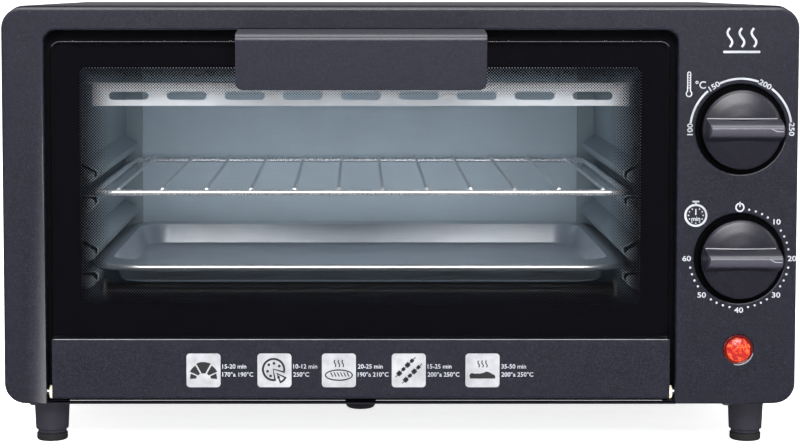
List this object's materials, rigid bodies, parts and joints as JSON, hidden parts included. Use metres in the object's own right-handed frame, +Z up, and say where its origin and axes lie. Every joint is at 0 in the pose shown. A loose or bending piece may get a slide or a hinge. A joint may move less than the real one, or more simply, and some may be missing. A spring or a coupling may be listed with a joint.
{
  "type": "toaster oven",
  "caption": "Compact bench-top toaster oven with a glazed drop-down door, bar handle, wire rack, baking tray, temperature and timer knobs and a pilot lamp.",
  "frame": {"origin": "bottom centre of the bounding box, on the plane the feet stand on", "axes": "+X to the right seen from the front, where the controls are, +Y towards the back, +Z up; the door faces -Y"},
  "size_m": [0.365, 0.27, 0.2046],
  "materials": {
    "charcoal_paint": "satin metallic fleck",
    "black_paint": "satin",
    "plated_sheet": "satin plated",
    "galvanised_sheet": "spangled",
    "bright_strip": "bright",
    "heater_sheath": "oxidised",
    "ceramic": "matte",
    "bell_steel": "bright",
    "lamp_red": "translucent, faceted",
    "black_plastic": "matte",
    "white_plastic": "matte",
    "foot_plastic": "satin",
    "rubber": "matte",
    "zinc_screw": "plated",
    "bumper_black": "gloss",
    "door_glass": "clear, slightly grey",
    "black_enamel": "fired enamel",
    "hinge_steel": "machined",
    "cream_nylon": "satin",
    "handle_plastic": "metallic grey",
    "rack_chrome": "plated wire",
    "tray_steel": "satin",
    "knob_plastic": "satin metallic grey"
  },
  "bodies": {
    "chassis": {"outer_cover": "charcoal_paint", "bottom_plate": "galvanised_sheet", "back_panel": "charcoal_paint", "front_panel": "charcoal_paint", "cavity_front_frame": "black_paint", "cavity_left_wall": "plated_sheet", "cavity_right_wall": "plated_sheet", "cavity_ceiling": "plated_sheet", "cavity_floor": "plated_sheet", "cavity_back": "plated_sheet", "upper_heater_guard": "bright_strip", "upper_heater": "heater_sheath", "lower_heater": "heater_sheath", "insulator_upper_left": "ceramic", "insulator_upper_right": "ceramic", "insulator_lower_left": "ceramic", "insulator_lower_right": "ceramic", "heat_shield": "galvanised_sheet", "thermostat_body": "ceramic", "timer_body": "galvanised_sheet", "timer_bell": "bell_steel", "lamp_lens": "lamp_red", "lamp_body": "black_plastic", "terminal_block": "white_plastic", "cord_gland": "black_plastic", "foot_front_left": "foot_plastic", "foot_front_right": "foot_plastic", "foot_rear_left": "foot_plastic", "foot_rear_right": "foot_plastic", "foot_pad_front_left": "rubber", "foot_pad_front_right": "rubber", "foot_pad_rear_left": "rubber", "foot_pad_rear_right": "rubber", "panel_screw_left": "zinc_screw", "panel_screw_right": "zinc_screw", "door_stop": "bumper_black", "back_screw_upper_left": "zinc_screw", "back_screw_upper_right": "zinc_screw", "back_screw_lower_left": "zinc_screw", "back_screw_lower_right": "zinc_screw"},
    "door": {"door_glass": "door_glass", "glass_border": "black_enamel", "door_bottom_rail": "charcoal_paint", "rail_gasket": "rubber", "hinge_block_left": "hinge_steel", "hinge_block_right": "hinge_steel", "hinge_pin_left": "hinge_steel", "hinge_pin_right": "hinge_steel", "hinge_washer_left": "cream_nylon", "hinge_washer_right": "cream_nylon", "door_handle": "handle_plastic", "handle_screw_left": "zinc_screw", "handle_screw_right": "zinc_screw"},
    "rack": {"wire_rack": "rack_chrome"},
    "tray": {"baking_tray": "tray_steel"},
    "temperature_control": {"temperature_knob": "knob_plastic", "thermostat_shaft": "hinge_steel"},
    "timer_control": {"timer_knob": "knob_plastic", "timer_shaft": "hinge_steel"}
  },
  "joints": [
    {"name": "door_hinge", "type": "hinge", "parent": "chassis", "child": "door", "pos_m": [-0.01805, -0.106, 0.0259], "axis": [1, 0, 0], "range_deg": [0, 85]},
    {"name": "rack_slide", "type": "slide", "parent": "chassis", "child": "rack", "axis": [0, -1, 0], "range_m": [0, 0.086]},
    {"name": "tray_slide", "type": "slide", "parent": "chassis", "child": "tray", "axis": [0, -1, 0], "range_m": [0, 0.086]},
    {"name": "temperature_turn", "type": "hinge", "parent": "chassis", "child": "temperature_control", "pos_m": [0.156, -0.11, 0.148], "axis": [0, -1, 0], "range_deg": [0, 180]},
    {"name": "timer_turn", "type": "hinge", "parent": "chassis", "child": "timer_control", "pos_m": [0.156, -0.11, 0.0885], "axis": [0, -1, 0], "range_deg": [-180, 90]}
  ],
  "couplings": [
    {"joint": "rack_slide", "follows": "door_hinge", "m_per_rad": 0.0573},
    {"joint": "tray_slide", "follows": "door_hinge", "m_per_rad": 0.0573}
  ]
}
